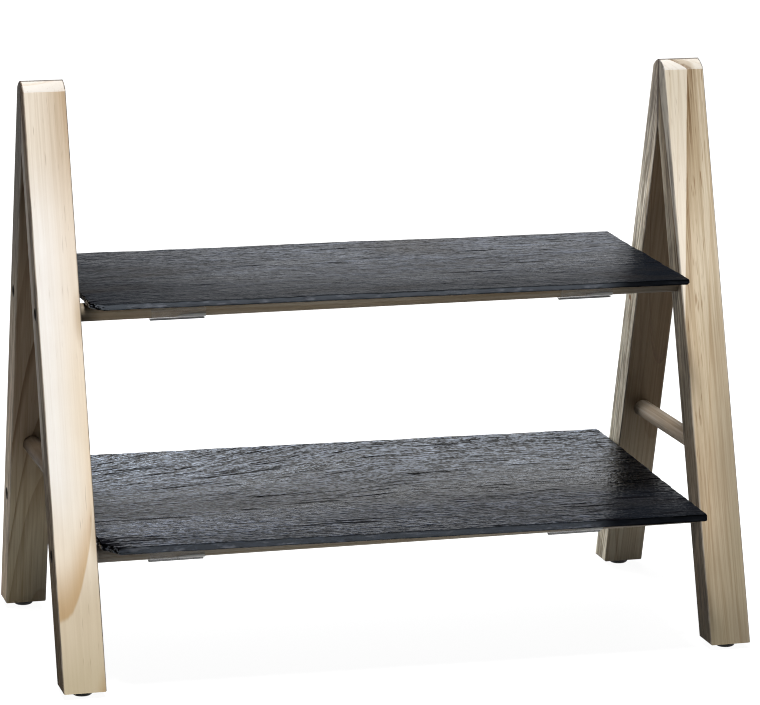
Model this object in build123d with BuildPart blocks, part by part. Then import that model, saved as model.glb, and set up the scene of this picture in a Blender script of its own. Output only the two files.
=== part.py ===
from build123d import *
import os
from math import cos, hypot, radians, sin, tan

# Tiered cake stand: two pine A-frames stand on rubber feet and are joined by four dowels, screwed on
# through the legs. Two riven slate boards lie loose on clear clips that are snapped round the dowels.
# Millimetres. X runs along the boards, -Y is the front, Z = 0 is the table and Y = 0 is the mitre plane.

# Boards
board_length = 400.0
upper_board_depth = 190.0
lower_board_depth = 260.0
upper_board_thickness = 4.5
lower_board_thickness = 5.5
board_end_clearance = 4.0  # between a board's end and the legs beside it
upper_board_setback = 11.0  # the upper board lies this far behind the mitre plane
upper_board_turn = -1.75  # degrees; loose boards lie a little askew
lower_board_turn = -2.1
dressed_edge = 0.6  # bevel round a board's upper face
split_edge = 1.4  # bevel that dressing from below leaves round a board's lower face
blunt_corner = 2.0
upper_chip_along = 7.0  # chip off a board's front left corner, measured along the length
upper_chip_back = 9.0  # and measured back from the front edge
lower_chip_along = 9.0
lower_chip_back = 14.0

# A-frames
leg_width = 28.0  # along X
leg_thickness = 22.0  # square to the leg's sloping faces
leg_splay = 16.8  # degrees from the vertical
frame_height = 377.0  # from the leg ends to the ridge
ridge_half_width = 11.6  # half the frame's width where the legs' fronts turn in to the ridge
ridge_rise = 6.2  # from there up to the ridge
ridge_bulge = 0.9  # how far the rounded top stands out of a straight bevel
eased_edge = 1.0
foot_height = 4.0
foot_diameter = 14.0

# Dowels, rungs and tenons
dowel_diameter = 12.0
upper_dowel_height = 231.0  # axis, above the leg ends
lower_dowel_height = 81.6
dowel_seat = 8.0  # how far a dowel enters a leg
rung_diameter = 12.0
rung_height = 121.0
rung_seat = 10.0
tenon_thickness = 7.0  # along X
tenon_length = 20.0  # across the mitre
tenon_width = 18.0  # along Z
tenon_drop = 24.0  # middle, below the ridge
glue_gap = 0.05  # all round a glued dowel, rung or tenon
end_gap = 0.5  # glue room past the end of a rung or tenon

# Dowel screws
screw_length = 30.0  # under the head
screw_diameter = 3.5
screw_head_diameter = 7.0
screw_head_height = 2.6
screw_gap = 0.05  # round the shank
head_hole_gap = 0.4  # round the head
head_hole_depth = 5.0

# Clips
clip_length = 36.0
clip_wall = 0.9
clip_play = 0.1  # between a dowel and the clip round it
clip_bend = 1.1  # inside radius of the bends beside the pad
clip_fold = 0.2  # inside radius of the folds in the lip
clip_front_drop = 4.2  # front wall, below the dowel's axis
clip_rear_drop = 2.0
clip_lip_depth = 3.0  # V-shaped lip, below the front wall
clip_lip_reach = 5.2  # from the front wall back to the point of the V
clip_lip_return = 4.2  # from the point of the V to the lip's free edge
clip_lip_rise = 1.0
upper_clip_inset = 61.0  # from a board's end to a clip's middle
lower_left_clip_inset = 49.0
lower_right_clip_inset = 81.0

# Worked-out places
splay_slope = tan(radians(leg_splay))
leg_depth = leg_thickness / cos(radians(leg_splay))  # a leg's horizontal section, front to back
half_gap = board_length / 2 + board_end_clearance
leg_middle = half_gap + leg_width / 2
frame_end = half_gap + leg_width
ridge_z = foot_height + frame_height
shoulder_z = ridge_z - ridge_rise
clip_standoff = dowel_diameter / 2 + clip_play + clip_wall / 2  # from a dowel's axis to a clip wall's middle

ENDS = {"left": -1, "right": 1}
SIDES = {"front": -1, "rear": 1}
TIERS = {
    "upper": {
        "dowel_z": foot_height + upper_dowel_height,
        "depth": upper_board_depth,
        "thickness": upper_board_thickness,
        "setback": upper_board_setback,
        "turn": upper_board_turn,
        "chip": (upper_chip_along, upper_chip_back),
        "clip_inset": {"left": upper_clip_inset, "right": upper_clip_inset},
    },
    "lower": {
        "dowel_z": foot_height + lower_dowel_height,
        "depth": lower_board_depth,
        "thickness": lower_board_thickness,
        "setback": 0.0,
        "turn": lower_board_turn,
        "chip": (lower_chip_along, lower_chip_back),
        "clip_inset": {"left": lower_left_clip_inset, "right": lower_right_clip_inset},
    },
}


def outer_y(z):
    """Half the frame's depth over the legs' outer faces at height z."""
    return ridge_half_width + (shoulder_z - z) * splay_slope


def inner_y(z):
    """Half the opening between the legs' inner faces at height z."""
    return outer_y(z) - leg_depth


def middle_y(z):
    """Distance from the mitre plane to a leg's middle at height z."""
    return outer_y(z) - leg_depth / 2


def make_leg(end, side):
    """One leg: mitred on Y = 0, rounded up to the ridge, and drilled for the pieces it holds."""
    crotch_z = shoulder_z + (ridge_half_width - leg_depth) / splay_slope
    shoulder = (side * ridge_half_width, shoulder_z)
    ridge = (0, ridge_z)
    bevel = hypot(ridge_half_width, ridge_rise)
    bevel_middle = (
        side * (ridge_half_width / 2 + ridge_bulge * ridge_rise / bevel),
        (shoulder_z + ridge_z) / 2 + ridge_bulge * ridge_half_width / bevel,
    )
    with BuildPart() as leg:
        with BuildSketch(Plane.YZ.offset(end * leg_middle)):
            with BuildLine():
                Polyline(
                    ridge,
                    (0, crotch_z),
                    (side * inner_y(foot_height), foot_height),
                    (side * outer_y(foot_height), foot_height),
                    shoulder,
                )
                ThreePointArc(shoulder, bevel_middle, ridge)
            make_face()
        extrude(amount=leg_width / 2, both=True)
        rims = leg.faces().filter_by(Axis.X).edges().filter_by(GeomType.LINE)
        fillet(rims.filter_by(lambda rim: abs(rim.center().Y) > eased_edge), eased_edge)

        for tier in TIERS.values():
            z = tier["dowel_z"]
            y = side * middle_y(z)
            with Locations(Plane(origin=(end * half_gap, y, z), z_dir=(-end, 0, 0))):
                Hole(radius=dowel_diameter / 2 + glue_gap, depth=dowel_seat)
            with Locations(Plane(origin=(end * frame_end, y, z), z_dir=(end, 0, 0))):
                CounterBoreHole(
                    radius=screw_diameter / 2 + screw_gap,
                    counter_bore_radius=screw_head_diameter / 2 + head_hole_gap,
                    counter_bore_depth=head_hole_depth,
                    depth=leg_width - dowel_seat / 2,
                )

        rung_z = foot_height + rung_height
        with Locations(Plane(origin=(end * leg_middle, 0, rung_z), z_dir=(0, -side, 0))):
            Hole(radius=rung_diameter / 2 + glue_gap, depth=inner_y(rung_z) + rung_seat + end_gap)
        mortise_depth = tenon_length / 2 + end_gap
        with Locations((end * leg_middle, side * mortise_depth / 2, ridge_z - tenon_drop)):
            Box(
                tenon_thickness + 2 * glue_gap,
                mortise_depth,
                tenon_width + 2 * glue_gap,
                mode=Mode.SUBTRACT,
            )
    return leg.part


def make_rod(plane, diameter, length):
    """A round wooden rod, centred on the plane's origin and running along its normal."""
    with BuildPart() as rod:
        with BuildSketch(plane):
            Circle(diameter / 2)
        extrude(amount=length / 2, both=True)
    return rod.part


def make_tenon(end):
    """The loose tenon that is glued across a frame's mitre."""
    with BuildPart() as tenon:
        with Locations((end * leg_middle, 0, ridge_z - tenon_drop)):
            Box(tenon_thickness, tenon_length, tenon_width)
    return tenon.part


def make_dowel(y, z):
    """A dowel along X with a pilot hole in each end for its screw."""
    length = 2 * (half_gap + dowel_seat)
    length_in_leg = leg_width - head_hole_depth - dowel_seat
    with BuildPart() as dowel:
        add(make_rod(Plane(origin=(0, y, z), z_dir=(1, 0, 0)), dowel_diameter, length))
        for end in ENDS.values():
            with Locations(Plane(origin=(end * length / 2, y, z), z_dir=(end, 0, 0))):
                Hole(
                    radius=screw_diameter / 2 + screw_gap,
                    depth=screw_length - length_in_leg + end_gap,
                )
    return dowel.part


def make_screw():
    """A pan-head wood screw along Z, with the underside of its head at the origin."""
    with BuildPart() as screw:
        Cylinder(
            screw_head_diameter / 2,
            screw_head_height,
            align=(Align.CENTER, Align.CENTER, Align.MIN),
        )
        Cylinder(screw_diameter / 2, screw_length, align=(Align.CENTER, Align.CENTER, Align.MAX))
    return screw.part


def make_board(tier):
    """A slate board, dressed round its edges, with one corner chipped away."""
    depth = tier["depth"]
    turn = radians(tier["turn"])
    bottom_z = tier["dowel_z"] + clip_standoff + clip_wall / 2
    lying = Plane(origin=(0, tier["setback"], bottom_z), x_dir=(cos(turn), sin(turn), 0), z_dir=(0, 0, 1))
    right, left = board_length / 2, -board_length / 2
    front, back = -depth / 2, depth / 2
    chip_along, chip_back = tier["chip"]
    with BuildPart() as board:
        with BuildSketch(lying):
            with BuildLine():
                Polyline(
                    (left + chip_along, front),
                    (right - blunt_corner, front),
                    (right, front + blunt_corner),
                    (right, back - blunt_corner),
                    (right - blunt_corner, back),
                    (left + blunt_corner, back),
                    (left, back - blunt_corner),
                    (left, front + chip_back),
                    close=True,
                )
            make_face()
        extrude(amount=tier["thickness"])
        chamfer(board.faces().sort_by(Axis.Z)[-1].edges(), dressed_edge)
        chamfer(board.faces().sort_by(Axis.Z)[0].edges(), split_edge)
    return board.part


def make_clip(x, y, z, side):
    """A clear clip: a pad over the dowel, a wall down each side, and a V-shaped lip hooked under it."""
    outward = side * clip_standoff
    lip_z = -clip_front_drop - clip_lip_depth
    pad_bend = clip_bend + clip_wall / 2
    lip_fold = clip_fold + clip_wall / 2
    with BuildPart() as clip:
        with BuildSketch(Plane(origin=(x, y, z), x_dir=(0, 1, 0), z_dir=(1, 0, 0))):
            with BuildLine():
                FilletPolyline(
                    (-outward, -clip_rear_drop),
                    (-outward, clip_standoff),
                    (outward, clip_standoff),
                    (outward, -clip_front_drop),
                    (outward - side * clip_lip_reach, lip_z),
                    (outward - side * (clip_lip_reach + clip_lip_return), lip_z + clip_lip_rise),
                    radius=[pad_bend, pad_bend, lip_fold, lip_fold],
                )
            trace(line_width=clip_wall)
        extrude(amount=clip_length / 2, both=True)
    return clip.part


def make_foot(x, y):
    """A rubber foot under a leg end."""
    with BuildPart() as foot:
        with BuildSketch(Plane.XY.offset(foot_height)):
            with Locations((x, y)):
                Circle(foot_diameter / 2)
        extrude(amount=-foot_height)
    return foot.part


def save(part, name):
    """Name a finished piece and write it as a STEP file."""
    part.label = name
    export_step(part, f"parts/{name}.step")


os.makedirs("parts", exist_ok=True)

for end_name, end in ENDS.items():
    rung_z = foot_height + rung_height
    rung_plane = Plane(origin=(end * leg_middle, 0, rung_z), z_dir=(0, 1, 0))
    rung_length = 2 * (inner_y(rung_z) + rung_seat)
    save(make_rod(rung_plane, rung_diameter, rung_length), f"{end_name}_rung")
    save(make_tenon(end), f"{end_name}_apex_tenon")
    for side_name, side in SIDES.items():
        save(make_leg(end, side), f"{end_name}_{side_name}_leg")
        save(make_foot(end * leg_middle, side * middle_y(foot_height)), f"{end_name}_{side_name}_foot")

for tier_name, tier in TIERS.items():
    save(make_board(tier), f"{tier_name}_slate")
    dowel_z = tier["dowel_z"]
    for side_name, side in SIDES.items():
        dowel_y = side * middle_y(dowel_z)
        save(make_dowel(dowel_y, dowel_z), f"{tier_name}_{side_name}_dowel")
        for end_name, end in ENDS.items():
            clip_x = end * (board_length / 2 - tier["clip_inset"][end_name])
            save(make_clip(clip_x, dowel_y, dowel_z, side), f"{tier_name}_{side_name}_{end_name}_clip")

screw = make_screw()
with BuildPart() as dowel_screws:
    for end in ENDS.values():
        for side in SIDES.values():
            for tier in TIERS.values():
                head_x = end * (frame_end - head_hole_depth)
                dowel_y = side * middle_y(tier["dowel_z"])
                with Locations(Plane(origin=(head_x, dowel_y, tier["dowel_z"]), z_dir=(end, 0, 0))):
                    add(screw)
save(dowel_screws.part, "dowel_screws")
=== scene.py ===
from math import cos, pi, radians, sin

import bpy
import numpy as np
from bpy.props import FloatProperty, FloatVectorProperty, PointerProperty
from bpy.types import Operator, Panel, PropertyGroup
from mathutils import Euler, Matrix, Vector


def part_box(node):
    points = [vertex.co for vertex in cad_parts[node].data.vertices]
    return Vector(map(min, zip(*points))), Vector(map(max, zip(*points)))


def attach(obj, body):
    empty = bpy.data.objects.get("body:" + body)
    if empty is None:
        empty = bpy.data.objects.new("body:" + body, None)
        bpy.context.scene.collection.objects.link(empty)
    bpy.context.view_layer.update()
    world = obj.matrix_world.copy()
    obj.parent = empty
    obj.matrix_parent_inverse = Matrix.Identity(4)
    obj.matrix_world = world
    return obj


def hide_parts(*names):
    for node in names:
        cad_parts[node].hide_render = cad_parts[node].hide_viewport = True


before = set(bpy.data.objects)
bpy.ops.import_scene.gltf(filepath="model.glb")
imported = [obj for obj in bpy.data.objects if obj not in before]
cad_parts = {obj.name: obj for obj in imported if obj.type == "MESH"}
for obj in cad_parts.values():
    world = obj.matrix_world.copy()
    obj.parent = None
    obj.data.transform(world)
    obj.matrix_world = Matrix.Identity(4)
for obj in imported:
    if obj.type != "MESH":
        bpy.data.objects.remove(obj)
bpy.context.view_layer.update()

bl_info = {
    "name": "Tiered cake stand finishes",
    "version": (1, 0, 0),
    "blender": (4, 5, 0),
    "location": "3D View > Sidebar > Cake Stand",
    "description": "Dresses a slate and pine cake stand: pine, riven slate, clear clips, feet and screws",
    "category": "Object",
}

# Metres and radians throughout. X runs along the boards, -Y is the front, Z = 0 is the table.

ENDS = {"left": -1, "right": 1}
SIDES = {"front": -1, "rear": 1}
TIERS = ("upper", "lower")


# Sizes, colours and light that a user would change


def length(name, description, default, **limits):
    return FloatProperty(
        name=name, description=description, default=default, unit="LENGTH", precision=5, **limits
    )


def angle(name, description, default):
    return FloatProperty(name=name, description=description, default=default, subtype="ANGLE")


def share(name, description, default):
    return FloatProperty(name=name, description=description, default=default, min=0.0, max=1.0)


def colour(name, description, default):
    return FloatVectorProperty(
        name=name, description=description, default=default, subtype="COLOR", size=3, min=0.0, max=1.0
    )


def power(name, description, default):
    return FloatProperty(name=name, description=description, default=default, unit="POWER")


class PineSettings(PropertyGroup):
    """Shape and colours of the pine in the legs, rungs and dowels."""

    lean: angle("Leg lean", "Angle between a leg and the vertical", radians(16.8))
    thickness: length("Leg thickness", "Square to a leg's sloping faces", 0.022)
    ease: length("Eased edge", "Width of the softened edges along a leg", 0.0012)
    glue_line: length("Glue line", "Width of the dark line where two legs meet", 0.0024)
    bore: length("Screw hole", "Radius of the hole round a screw's head", 0.0041)
    worn: colour("Worn edges", "Where the long edges are rubbed", (0.62, 0.55, 0.46))
    brown: colour("Brown pine", "Smudges from handling", (0.42, 0.29, 0.17))
    heart: colour("Heartwood", "Older wood, over the early wood", (0.84, 0.80, 0.71))
    stain: colour("Stain", "Brown line where the heartwood begins, over the wood", (0.46, 0.35, 0.24))
    line: colour("Grain lines", "Finer lines along the grain, over the wood", (0.62, 0.54, 0.43))
    furrow: colour("Furrows", "Dark lines along the sawn sides, over the wood", (0.16, 0.14, 0.125))
    # Painted shade inside the screw holes
    hole_shade: colour("Bored holes", "Inside the screw holes", (0.018, 0.015, 0.013))
    bare: colour("Bare wood", "Paler strip along a sawn side", (0.92, 0.87, 0.80))
    end_grain: colour("End grain", "Cut ends", (0.345, 0.33, 0.31))
    resin: colour("Resin", "Resin streaks and knots", (0.20, 0.11, 0.055))
    glue: colour("Glue", "Line where two legs meet", (0.035, 0.022, 0.016))
    tenon: colour("Tenon", "Joints at the top of each frame", (0.60, 0.50, 0.37))


class SlateSettings(PropertyGroup):
    """Shape and colours of the two split slate boards."""

    length: length("Length", "Board length along X", 0.400)
    upper_depth: length("Upper depth", "Upper board, front to back", 0.190)
    lower_depth: length("Lower depth", "Lower board, front to back", 0.260)
    upper_turn: angle("Upper turn", "How far askew the upper board lies", radians(-1.75))
    lower_turn: angle("Lower turn", "How far askew the lower board lies", radians(-2.1))
    cell_along: length("Cell along", "Mesh step along the grain of the split face", 0.0025)
    cell_across: length("Cell across", "Mesh step across it", 0.0016)
    relief: length("Relief", "Height of the split face from its lowest to its highest point", 0.0008)
    bevel: length("Dressed bevel", "Bevel that dressing leaves round the upper face", 0.0007)
    split: length("Split bevel", "Bevel that dressing leaves round the lower face", 0.0014)
    dark: colour("Dark slate", "Hollows of the split face", (0.004, 0.005, 0.007))
    # Grey of the flakes, the stone's colour with painted sheen in it
    grey_and_sheen: colour("Grey slate", "Bright flakes", (0.150, 0.182, 0.262))
    rust: colour("Brown slate", "Faint mineral patches", (0.016, 0.013, 0.010))
    chalk: colour("Bruised slate", "Pale marks where the edge was dressed", (0.20, 0.21, 0.24))
    fresh: colour("Fresh slate", "Hairline splits and the broken corner", (0.003, 0.003, 0.004))


class FittingSettings(PropertyGroup):
    """Clips, feet and screws."""

    plastic: colour("Clear plastic", "Tint of the clips", (0.96, 0.975, 0.985))
    scuffed: colour("Scuffed plastic", "Tint of the clips where they are smudged", (0.86, 0.89, 0.91))
    # Painted darkness where the clips are seen along their walls and along their lip, in place of refraction
    painted_edge_darkness: colour("Plastic edge", "Where the clips are seen along their walls", (0.035, 0.035, 0.036))
    # Painted highlight along the front of a clip
    painted_gleam: colour("Gleam", "Bright line along the front of a clip", (0.90, 0.90, 0.85))
    rubber: colour("Rubber", "Feet", (0.012, 0.012, 0.013))
    rubber_dust: colour("Rubber dust", "Dust and wear on the feet", (0.07, 0.068, 0.064))
    foot_round: length("Foot rounding", "Radius of the foot's lower edge", 0.0022)
    oxide: colour("Black oxide", "Screw finish", (0.030, 0.031, 0.034))
    bare_steel: colour("Bare steel", "Where the driver has rubbed a screw", (0.30, 0.30, 0.31))
    head_radius: length("Head radius", "Radius of a screw's head", 0.0035)
    head_height: length("Head height", "Height of a screw's head", 0.0026)
    recess_depth: length("Recess depth", "Depth of the cross in a screw head", 0.0014)


class StageSettings(PropertyGroup):
    """Camera, floor and light."""

    camera_place: FloatVectorProperty(
        name="Camera", description="Where the camera stands", default=(-0.6284, -2.3876, 0.7023), size=3,
        subtype="TRANSLATION", unit="LENGTH",
    )
    camera_fall: angle("Camera fall", "How far the camera looks down", radians(11.74))
    camera_turn: angle("Camera turn", "How far the camera is turned from looking along Y", radians(-14.95))
    lens: FloatProperty(name="Lens", description="Focal length", default=177.6, unit="CAMERA", min=1.0)
    key_power: power("Key light", "High soft light", 560.0)
    rear_power: power("Rear light", "Soft light behind", 14.0)
    panel_power: power("Panel", "Low panel behind", 4.2)
    ambient: share("Ambient", "Light from all round", 0.02)
    ceiling: share("Ceiling", "How bright the surroundings look overhead", 0.12)
    floor_glow: share("Floor glow", "How white the floor looks by itself", 0.955)
    floor: colour("Floor", "Pale floor under the stand", (0.15, 0.15, 0.15))
    floor_half: length("Floor size", "Half of the floor's width", 12.0)


SETTINGS = {
    "stand_pine": PineSettings,
    "stand_slate": SlateSettings,
    "stand_fittings": FittingSettings,
    "stand_stage": StageSettings,
}


# The board that each leg was cut from, in the leg's own frame: X across the leg, Y square to its sloping
# faces from its middle, and Z along it from its lower end. Tones are (distance along the leg, colour).
#   pith, tilt   where the tree's middle lies, and how fast it wanders off along the leg
#   bend         how that changes further up
#   heart        radius of the darker heartwood
#   rings        how far apart the rings are, and uneven how much they differ from year to year
#   plain, aloft how weak the rings look low down, and how strong they look above
#   figure       how strongly finer lines along the grain show, and crown the same near the top
#   inner, outer early wood towards the leg's -X and +X edges, partly painted light along the leg: the
#                front legs darker towards the foot, the rear legs lighter low down, the left rear one darker
#                at the top
#   sides        tones of the sawn sides, over the early wood, mostly painted light and shade: darker on the
#                front legs, lighter on the rear legs below their tops; and furrows how strong their dark
#                lines are
#   bare, sheen  how strong the paler strip on the sawn sides is, and how much those sides reflect
#   late         tones of the late wood, over the wood, and inward_shade painted shade on the face turned
#                to the other leg
#   slate_corner_shadows  distances along the leg at which painted shadows of the slate corners darken its
#                +X edge
#   knot         middle of a knot, far off where there is none
COMMON_BOARD = dict(
    bend=0.0, heart=0.0, uneven=1.0, plain=0.0, figure=0.55, crown=0.6, bare=0.0, sheen=0.3, slate_corner_shadows=(),
    knot=(0.0, 0.0, 9.0),
)
LEG_BOARDS = {
    "left_front": dict(
        pith=(-0.0126, 0.0648), tilt=(0.0, -0.0946), bend=0.1819, rings=0.009, uneven=0.0, aloft=0.45,
        figure=0.11, crown=0.26,
        inner=(
            (0.0, (0.54, 0.45, 0.29)), (0.045, (0.66, 0.55, 0.39)), (0.09, (0.90, 0.79, 0.64)),
            (0.14, (0.97, 0.93, 0.87)), (0.28, (0.96, 0.92, 0.87)), (0.36, (0.82, 0.73, 0.61)),
        ),
        outer=(
            (0.0, (0.55, 0.46, 0.30)), (0.05, (0.65, 0.54, 0.38)), (0.11, (0.97, 0.86, 0.71)),
            (0.18, (0.92, 0.78, 0.60)), (0.27, (0.88, 0.76, 0.62)), (0.38, (0.57, 0.44, 0.30)),
        ),
        sides=((0.0, (0.22, 0.19, 0.155)), (0.20, (0.33, 0.29, 0.25)), (0.38, (0.42, 0.37, 0.34))),
        furrows=0.9, bare=0.62, sheen=0.05, late=(0.78, 0.64, 0.48), inward_shade=(0.55, 0.50, 0.45),
        slate_corner_shadows=(0.100, 0.240), seed=1.3,
    ),
    "right_front": dict(
        pith=(0.0016, 0.0497), tilt=(0.0917, 0.0), heart=0.070, rings=0.0035, plain=0.45, aloft=0.5,
        inner=(
            (0.0, (0.29, 0.255, 0.18)), (0.045, (0.47, 0.40, 0.30)), (0.09, (0.68, 0.57, 0.44)),
            (0.19, (0.84, 0.73, 0.58)), (0.27, (0.94, 0.84, 0.70)), (0.38, (0.68, 0.60, 0.47)),
        ),
        outer=(
            (0.0, (0.25, 0.215, 0.16)), (0.05, (0.39, 0.34, 0.25)), (0.12, (0.43, 0.37, 0.28)),
            (0.20, (0.62, 0.54, 0.43)), (0.27, (0.86, 0.78, 0.66)), (0.38, (0.72, 0.64, 0.53)),
        ),
        sides=(
            (0.0, (0.34, 0.31, 0.29)), (0.12, (0.27, 0.28, 0.30)), (0.24, (0.41, 0.43, 0.46)),
            (0.38, (0.42, 0.44, 0.48)),
        ),
        furrows=0.8, late=(0.78, 0.69, 0.58), inward_shade=(0.55, 0.50, 0.45), seed=4.1,
    ),
    "left_rear": dict(
        pith=(0.010, 0.03), tilt=(0.015, 0.055), heart=0.2, rings=0.0045, aloft=1.0, figure=0.6,
        inner=(
            (0.0, (0.78, 0.68, 0.48)), (0.075, (0.98, 0.90, 0.72)), (0.16, (0.54, 0.465, 0.40)),
            (0.24, (0.44, 0.38, 0.32)), (0.38, (0.17, 0.15, 0.13)),
        ),
        outer=(
            (0.0, (0.50, 0.46, 0.38)), (0.075, (0.94, 0.85, 0.67)), (0.16, (0.47, 0.40, 0.33)),
            (0.24, (0.36, 0.31, 0.255)), (0.38, (0.14, 0.12, 0.10)),
        ),
        sides=(
            (0.0, (1.26, 1.24, 1.45)), (0.08, (1.10, 1.10, 1.28)), (0.15, (1.74, 1.84, 2.0)),
            (0.22, (1.52, 1.62, 1.75)), (0.30, (0.56, 0.62, 0.70)), (0.38, (0.70, 0.78, 0.92)),
        ),
        furrows=0.7, late=(0.42, 0.32, 0.22), inward_shade=(0.98, 0.92, 0.86), seed=7.7,
    ),
    "right_rear": dict(
        pith=(0.012, -0.045), tilt=(-0.02, 0.07), rings=0.005, plain=0.2, aloft=0.8, crown=0.55,
        inner=(
            (0.0, (0.98, 0.88, 0.68)), (0.08, (0.92, 0.82, 0.63)), (0.16, (0.66, 0.57, 0.44)),
            (0.38, (0.88, 0.77, 0.64)),
        ),
        outer=(
            (0.0, (0.98, 0.86, 0.66)), (0.08, (0.94, 0.80, 0.60)), (0.16, (0.72, 0.58, 0.41)),
            (0.38, (0.56, 0.48, 0.38)),
        ),
        sides=(
            (0.0, (0.98, 1.05, 1.15)), (0.09, (0.90, 0.98, 1.09)), (0.17, (1.08, 1.20, 1.32)),
            (0.29, (1.10, 1.20, 1.28)), (0.37, (0.42, 0.44, 0.46)),
        ),
        furrows=0.78, late=(0.50, 0.38, 0.26), inward_shade=(0.42, 0.37, 0.31), knot=(-0.014, 0.002, 0.215),
        seed=2.9,
    ),
}
RAMP_LENGTH = 0.4  # greatest distance in any of the tones

# Wood of the turned pieces: (distance from the piece's middle plus half of RAMP_LENGTH, colour). The
# tenons have pine.tenon. The dark stops at the ends of the front dowels, next to the legs, and the dark
# left rung are painted shade.
TURNED_TONES_AND_SHADE = {
    "upper_front_dowel": (
        (0.0, (0.16, 0.13, 0.09)), (0.012, (0.60, 0.49, 0.35)), (0.20, (0.84, 0.72, 0.56)),
        (0.33, (0.62, 0.53, 0.41)), (0.385, (0.20, 0.17, 0.13)),
    ),
    "upper_rear_dowel": ((0.0, (0.66, 0.56, 0.42)),),
    "lower_front_dowel": (
        (0.0, (0.34, 0.31, 0.27)), (0.10, (0.50, 0.44, 0.35)), (0.24, (0.60, 0.52, 0.41)),
        (0.385, (0.20, 0.17, 0.13)),
    ),
    "lower_rear_dowel": ((0.0, (0.62, 0.53, 0.40)),),
    "left_rung": ((0.0, (0.085, 0.063, 0.044)),),
    "right_rung": ((0.12, (0.31, 0.265, 0.21)), (0.28, (0.27, 0.225, 0.175))),
}
PINE_SHEEN = 0.3
TURNED_SHEEN = {"left_rung": 0.06}  # the others have PINE_SHEEN

# The two slates.
#   chip         how far the front left corner is chipped along the board and back from its front
#   broken       reach of the dark broken stone round that chip, painted near-black partly as the shade in
#                the chip
#   roughness    how strong the ripples are, and ripple how much the streaks fan out at the left rear
#   patch        strength of the brown patches
#   flakes       lightness of the flakes at the front and the rear, a painted sheen that grows towards the
#                rear, and spread where they start and end
#   front, rear  how strongly the stone reflects there, a painted sheen that grows towards the rear, and calm
#                how far the flakes are evened out there
#   left, dim    painted light towards the left end, darker on the upper board and brighter on the lower,
#                and painted shade at the left of the front
#   corner       where the painted shade over the right end starts
#   cracks, fan  how rare the hairline splits are, and how many more lie at the left rear
#   edge         how strongly the dressed edge reflects
SLATES = {
    "upper": dict(
        chip=(0.007, 0.009), broken=0.006, seed=11, roughness=0.7, patch=0.45, ripple=0.1, front=0.017,
        rear=0.088, left=0.10, dim=1.0, flakes=(0.017, 0.145), spread=(0.39, 0.61), calm=(0.8, 0.2),
        corner=0.187, cracks=0.66, fan=0.0, edge=0.9,
    ),
    "lower": dict(
        chip=(0.009, 0.014), broken=0.0085, seed=23, roughness=1.3, patch=0.15, ripple=0.6, front=0.07,
        rear=1.15, left=1.85, dim=0.45, flakes=(0.105, 0.46), spread=(0.455, 0.59), calm=(0.4, 0.0),
        corner=0.178, cracks=0.61, fan=0.05, edge=0.56,
    ),
}

# Lamps: the setting that gives their power, size, place, target, and whether gloss shows them
LAMPS = {
    "key_softbox": ("key_power", (1.1, 1.1), (-0.45, -0.95, 5.20), (0.0, 0.0, 0.15), True),
    "rear_softbox": ("rear_power", (1.0, 1.0), (0.45, 1.10, 1.70), (0.0, 0.0, 0.18), True),
    "rear_panel": ("panel_power", (0.3, 0.5), (-0.06, 0.55, 0.30), (0.15, 0.05, 0.20), False),
}


# Node helpers


class Value:
    """A number, vector, colour or shader in a node tree, and the sums that make others from it."""

    def __init__(self, nodes, socket):
        self.nodes, self.socket = nodes, socket

    def apply(self, operation, *others):
        kind = "VectorMath" if self.socket.type == "VECTOR" else "Math"
        return self.nodes.value(kind, dict(enumerate((self, *others))), operation=operation)

    def __add__(self, other):
        return self.apply("ADD", other)

    def __sub__(self, other):
        return self.apply("SUBTRACT", other)

    def __rsub__(self, number):
        return self.nodes.value("Math", {0: number, 1: self}, operation="SUBTRACT")

    def __mul__(self, other):
        return self.apply("MULTIPLY", other)

    def __truediv__(self, other):
        return self.apply("DIVIDE", other)

    def __abs__(self):
        return self.apply("ABSOLUTE")

    def at_least(self, other):
        """The larger of the number and another."""
        return self.apply("MAXIMUM", other)

    def ease(self, low, high, to_low=0.0, to_high=1.0):
        """The number, eased from to_low at low to to_high at high."""
        inputs = {"Value": self, 1: low, 2: high, 3: to_low, 4: to_high}
        return self.nodes.value("MapRange", inputs, "Result", interpolation_type="SMOOTHSTEP")

    def fade(self, low, high, strength=1.0):
        """The number, eased from strength at low to 0 at high."""
        return self.ease(low, high, strength, 0.0)

    def span(self, at_none, at_full):
        """at_none where the number is 0, eased to at_full where it is 1."""
        return self.ease(0.0, 1.0, at_none, at_full)

    def parts(self):
        """The vector's X, Y and Z."""
        return [Value(self.nodes, socket) for socket in self.nodes.add("SeparateXYZ", {0: self}).outputs]

    def measure(self, operation, *others):
        """The vector's LENGTH, its DISTANCE from another, or its DOT_PRODUCT with another."""
        inputs = dict(enumerate((self, *others)))
        return self.nodes.value("VectorMath", inputs, "Value", operation=operation)

    def blend(self, factor, other):
        """The colour where factor is 0, and the other where it is 1."""
        return self.nodes.blend(factor, self, other)

    def shade(self, factor, other):
        """The colour where factor is 0, and multiplied by the other where it is 1."""
        return self.nodes.blend(factor, self, other, "MULTIPLY")

    def tones(self, stops):
        """Colours that follow a distance, given as (distance, colour)."""
        ramp = self.nodes.add("ValToRGB", {0: self / RAMP_LENGTH})
        ramp.color_ramp.interpolation = "EASE"
        points = ramp.color_ramp.elements
        while len(points) < len(stops):
            points.new(1.0)
        while len(points) > len(stops):
            points.remove(points[-1])
        for point, (distance, tone) in zip(points, stops):
            point.position = distance / RAMP_LENGTH
            point.color = (*tone, 1.0)
        return Value(self.nodes, ramp.outputs[0])


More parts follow.
